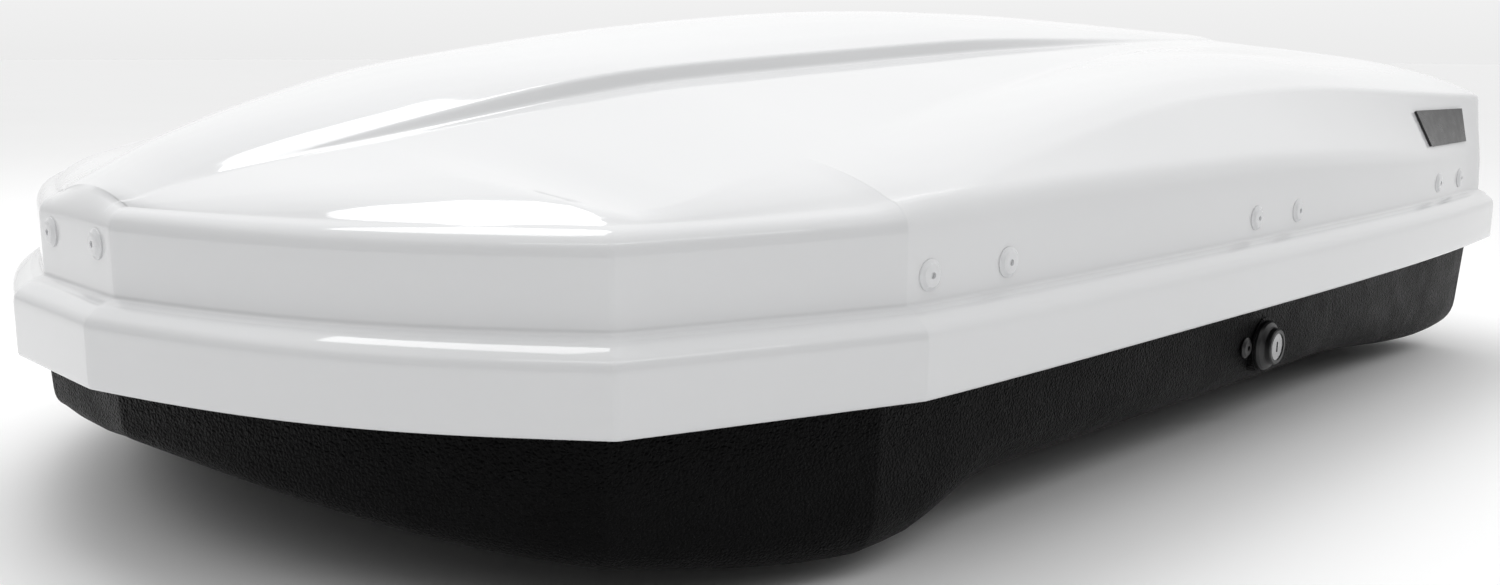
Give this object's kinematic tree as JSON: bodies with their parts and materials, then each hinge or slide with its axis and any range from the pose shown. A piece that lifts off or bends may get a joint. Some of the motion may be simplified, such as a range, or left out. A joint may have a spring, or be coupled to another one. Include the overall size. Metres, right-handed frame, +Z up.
{
  "type": "roof cargo box",
  "caption": "Hard-shell roof cargo box: gloss white faceted lid with a leaf-shaped hood over a black grained tub, side-opening, with lock, struts, braces and slotted floor.",
  "frame": {"origin": "bottom centre of the closed box, on the plane that the tub's two bellies stand on", "axes": "+X towards the rear of the box (the nose points to -X), +Y towards the hinge side (the lock is on -Y), +Z up"},
  "size_m": [1.431, 0.918, 0.3803],
  "materials": {
    "black_shell": "fine leather grain",
    "white_shell": "high gloss",
    "white_rivet": "satin",
    "black_trim": "satin",
    "rubber": "matte",
    "chrome": "polished",
    "zinc_steel": "zinc plated",
    "brace_alloy": "mill finish",
    "black_paint": "gloss paint"
  },
  "bodies": {
    "tub": {"base_shell": "black_shell", "floor_rail_fixings": "zinc_steel", "floor_rail_left": "zinc_steel", "floor_rail_right": "zinc_steel", "hinge_base_leaf_front": "zinc_steel", "hinge_base_leaf_middle": "zinc_steel", "hinge_base_leaf_rear": "zinc_steel", "hinge_pins": "zinc_steel", "lock_back_plate": "zinc_steel", "lock_case_rivet": "black_trim", "lock_cover": "black_trim", "lock_housing": "black_trim", "lock_nut": "black_trim", "lock_rail_guides": "black_trim", "rim_seal": "rubber", "strut_base_bracket_front": "zinc_steel", "strut_base_bracket_rear": "zinc_steel"},
    "lid": {"hinge_lid_leaf_front": "zinc_steel", "hinge_lid_leaf_middle": "zinc_steel", "hinge_lid_leaf_rear": "zinc_steel", "lid_brace_front": "brace_alloy", "lid_brace_middle": "brace_alloy", "lid_brace_rear": "brace_alloy", "lid_catch_front": "zinc_steel", "lid_catch_middle": "zinc_steel", "lid_catch_rear": "zinc_steel", "lid_rivets_hinge_side": "white_rivet", "lid_rivets_lock_side": "white_rivet", "lid_rivets_nose": "white_rivet", "lid_shell": "white_shell", "nose_stiffener": "brace_alloy", "strut_lid_bracket_front": "zinc_steel", "strut_lid_bracket_rear": "zinc_steel", "trim_plate_hinge_side": "black_trim", "trim_plate_lock_side": "black_trim"},
    "strut_cylinder_front": {"strut_cylinder_front": "black_paint"},
    "strut_rod_front": {"strut_rod_front": "chrome"},
    "strut_cylinder_rear": {"strut_cylinder_rear": "black_paint"},
    "strut_rod_rear": {"strut_rod_rear": "chrome"},
    "lock_barrel": {"lock_barrel": "chrome", "lock_cam": "zinc_steel"},
    "lock_rail": {"lock_rail": "zinc_steel"}
  },
  "joints": [
    {"name": "lid_hinge", "type": "hinge", "parent": "tub", "child": "lid", "pos_m": [0.1, 0.434, 0.137], "axis": [-1, 0, 0], "range_deg": [0, 48]},
    {"name": "strut_swing_front", "type": "hinge", "parent": "tub", "child": "strut_cylinder_front", "pos_m": [-0.211, 0.2527, 0.058], "axis": [-1, 0, 0], "range_deg": [0, 11]},
    {"name": "strut_stroke_front", "type": "slide", "parent": "strut_cylinder_front", "child": "strut_rod_front", "axis": [0, 0.66, 0.7512], "range_m": [0, 0.063]},
    {"name": "strut_swing_rear", "type": "hinge", "parent": "tub", "child": "strut_cylinder_rear", "pos_m": [0.393, 0.2527, 0.058], "axis": [-1, 0, 0], "range_deg": [0, 11]},
    {"name": "strut_stroke_rear", "type": "slide", "parent": "strut_cylinder_rear", "child": "strut_rod_rear", "axis": [0, 0.66, 0.7512], "range_m": [0, 0.063]},
    {"name": "lock_turn", "type": "hinge", "parent": "tub", "child": "lock_barrel", "pos_m": [0.1538, -0.42, 0.0832], "axis": [0, 1, 0], "range_deg": [0, 90]},
    {"name": "lock_rail_slide", "type": "slide", "parent": "tub", "child": "lock_rail", "axis": [1, 0, 0], "range_m": [0, 0.0226]}
  ],
  "couplings": [
    {"joint": "strut_swing_front", "follows": "lid_hinge", "ratio": 0.20376},
    {"joint": "strut_stroke_front", "follows": "lid_hinge", "m_per_rad": 0.072356},
    {"joint": "strut_swing_rear", "follows": "lid_hinge", "ratio": 0.20376},
    {"joint": "strut_stroke_rear", "follows": "lid_hinge", "m_per_rad": 0.072356},
    {"joint": "lock_turn", "follows": "lock_rail_slide", "rad_per_m": 69.504}
  ]
}
